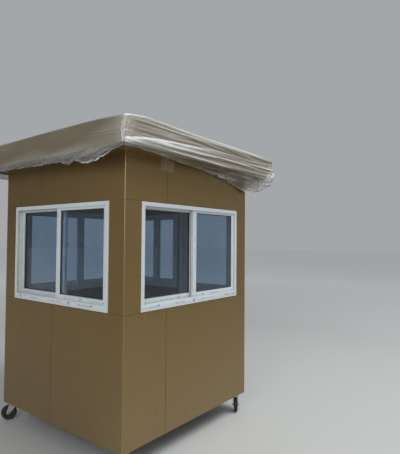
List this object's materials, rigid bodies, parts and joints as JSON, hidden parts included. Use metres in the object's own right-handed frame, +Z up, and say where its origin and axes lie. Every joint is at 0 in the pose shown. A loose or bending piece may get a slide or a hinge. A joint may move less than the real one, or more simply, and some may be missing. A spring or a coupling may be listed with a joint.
{
  "type": "security guard booth",
  "caption": "Square clad cabin on four swivel casters, with sliding windows on four sides, a hinged glazed door and a flat overhanging roof wrapped in film.",
  "frame": {"origin": "on the ground, under the middle of the cabin", "axes": "+Z up, -Y towards the front, +X towards the side that holds the door"},
  "size_m": [1.8686, 1.8686, 2.3193],
  "materials": {
    "cladding": "satin champagne-bronze coating on aluminium composite sheet",
    "lining": "matte painted inner lining",
    "chassis_paint": "dark painted steel tube",
    "floor": "matte grey floor covering",
    "frame_white": "white extruded profile under protective tape",
    "sash_white": "white extruded sash profile",
    "glass": "clear float glass",
    "latch": "white die-cast latch",
    "hinge_white": "white coated hinge",
    "lock_steel": "satin steel",
    "film": "milky crinkled polyethylene film",
    "zinc": "zinc plated pressed steel",
    "wheel": "black solid rubber on a black core"
  },
  "bodies": {
    "booth": {"chassis_side_rails": "chassis_paint", "chassis_end_rails": "chassis_paint", "chassis_cross_members": "chassis_paint", "floor_deck": "floor", "front_wall_lower": "lining", "front_wall_piers": "lining", "front_wall_header": "lining", "back_wall_lower": "lining", "back_wall_piers": "lining", "back_wall_header": "lining", "left_wall_lower": "lining", "left_wall_piers": "lining", "left_wall_header": "lining", "right_wall_lower": "lining", "right_wall_piers": "lining", "right_wall_header": "lining", "door_header": "lining", "cladding_lower": "cladding", "cladding_middle": "cladding", "cladding_upper": "cladding", "front_window_frame": "frame_white", "front_window_sashes": "sash_white", "front_window_glass": "glass", "left_window_frame": "frame_white", "left_window_sashes": "sash_white", "left_window_glass": "glass", "back_window_frame": "frame_white", "back_window_sashes": "sash_white", "back_window_glass": "glass", "right_window_frame": "frame_white", "right_window_sashes": "sash_white", "right_window_glass": "glass", "window_latches": "latch", "door_frame": "frame_white", "hinge_frame_halves": "hinge_white", "roof_joists": "chassis_paint", "roof_deck": "cladding", "roof_fascia": "cladding", "roof_soffit": "cladding", "ceiling": "lining", "roof_film": "film", "caster_plates": "zinc"},
    "door": {"door_leaf": "frame_white", "door_glass": "glass", "door_panel": "cladding", "hinge_leaf_halves": "hinge_white", "lock_plates": "lock_steel"},
    "door_lever": {"door_lever": "lock_steel"},
    "caster_fork_front_left": {"caster_fork_front_left": "zinc"},
    "caster_wheel_front_left": {"caster_wheel_front_left": "wheel"},
    "caster_fork_front_right": {"caster_fork_front_right": "zinc"},
    "caster_wheel_front_right": {"caster_wheel_front_right": "wheel"},
    "caster_fork_back_left": {"caster_fork_back_left": "zinc"},
    "caster_wheel_back_left": {"caster_wheel_back_left": "wheel"},
    "caster_fork_back_right": {"caster_fork_back_right": "zinc"},
    "caster_wheel_back_right": {"caster_wheel_back_right": "wheel"}
  },
  "joints": [
    {"name": "door_hinge", "type": "hinge", "parent": "booth", "child": "door", "pos_m": [0.765, -0.032, 1.2], "axis": [0, 0, 1], "range_deg": [0, 165]},
    {"name": "lever_turn", "type": "hinge", "parent": "door", "child": "door_lever", "pos_m": [0.7335, -0.6045, 1], "axis": [-1, 0, 0], "range_deg": [0, 45], "stiffness_Nm_per_rad": 1.2, "springref_deg": -17.19},
    {"name": "swivel_front_left", "type": "hinge", "parent": "booth", "child": "caster_fork_front_left", "pos_m": [-0.69, -0.69, 0.135], "axis": [0, 0, 1], "continuous": true},
    {"name": "roll_front_left", "type": "hinge", "parent": "caster_fork_front_left", "child": "caster_wheel_front_left", "pos_m": [-0.72571, -0.703, 0.0625], "axis": [0.342, -0.9397, 0], "continuous": true},
    {"name": "swivel_front_right", "type": "hinge", "parent": "booth", "child": "caster_fork_front_right", "pos_m": [0.69, -0.69, 0.135], "axis": [0, 0, 1], "continuous": true},
    {"name": "roll_front_right", "type": "hinge", "parent": "caster_fork_front_right", "child": "caster_wheel_front_right", "pos_m": [0.65965, -0.71287, 0.0625], "axis": [0.6018, -0.7986, 0], "continuous": true},
    {"name": "swivel_back_left", "type": "hinge", "parent": "booth", "child": "caster_fork_back_left", "pos_m": [-0.69, 0.69, 0.135], "axis": [0, 0, 1], "continuous": true},
    {"name": "roll_back_left", "type": "hinge", "parent": "caster_fork_back_left", "child": "caster_wheel_back_left", "pos_m": [-0.71687, 0.71687, 0.0625], "axis": [-0.7071, -0.7071, 0], "continuous": true},
    {"name": "swivel_back_right", "type": "hinge", "parent": "booth", "child": "caster_fork_back_right", "pos_m": [0.69, 0.69, 0.135], "axis": [0, 0, 1], "continuous": true},
    {"name": "roll_back_right", "type": "hinge", "parent": "caster_fork_back_right", "child": "caster_wheel_back_right", "pos_m": [0.709, 0.72291, 0.0625], "axis": [-0.866, 0.5, 0], "continuous": true}
  ]
}
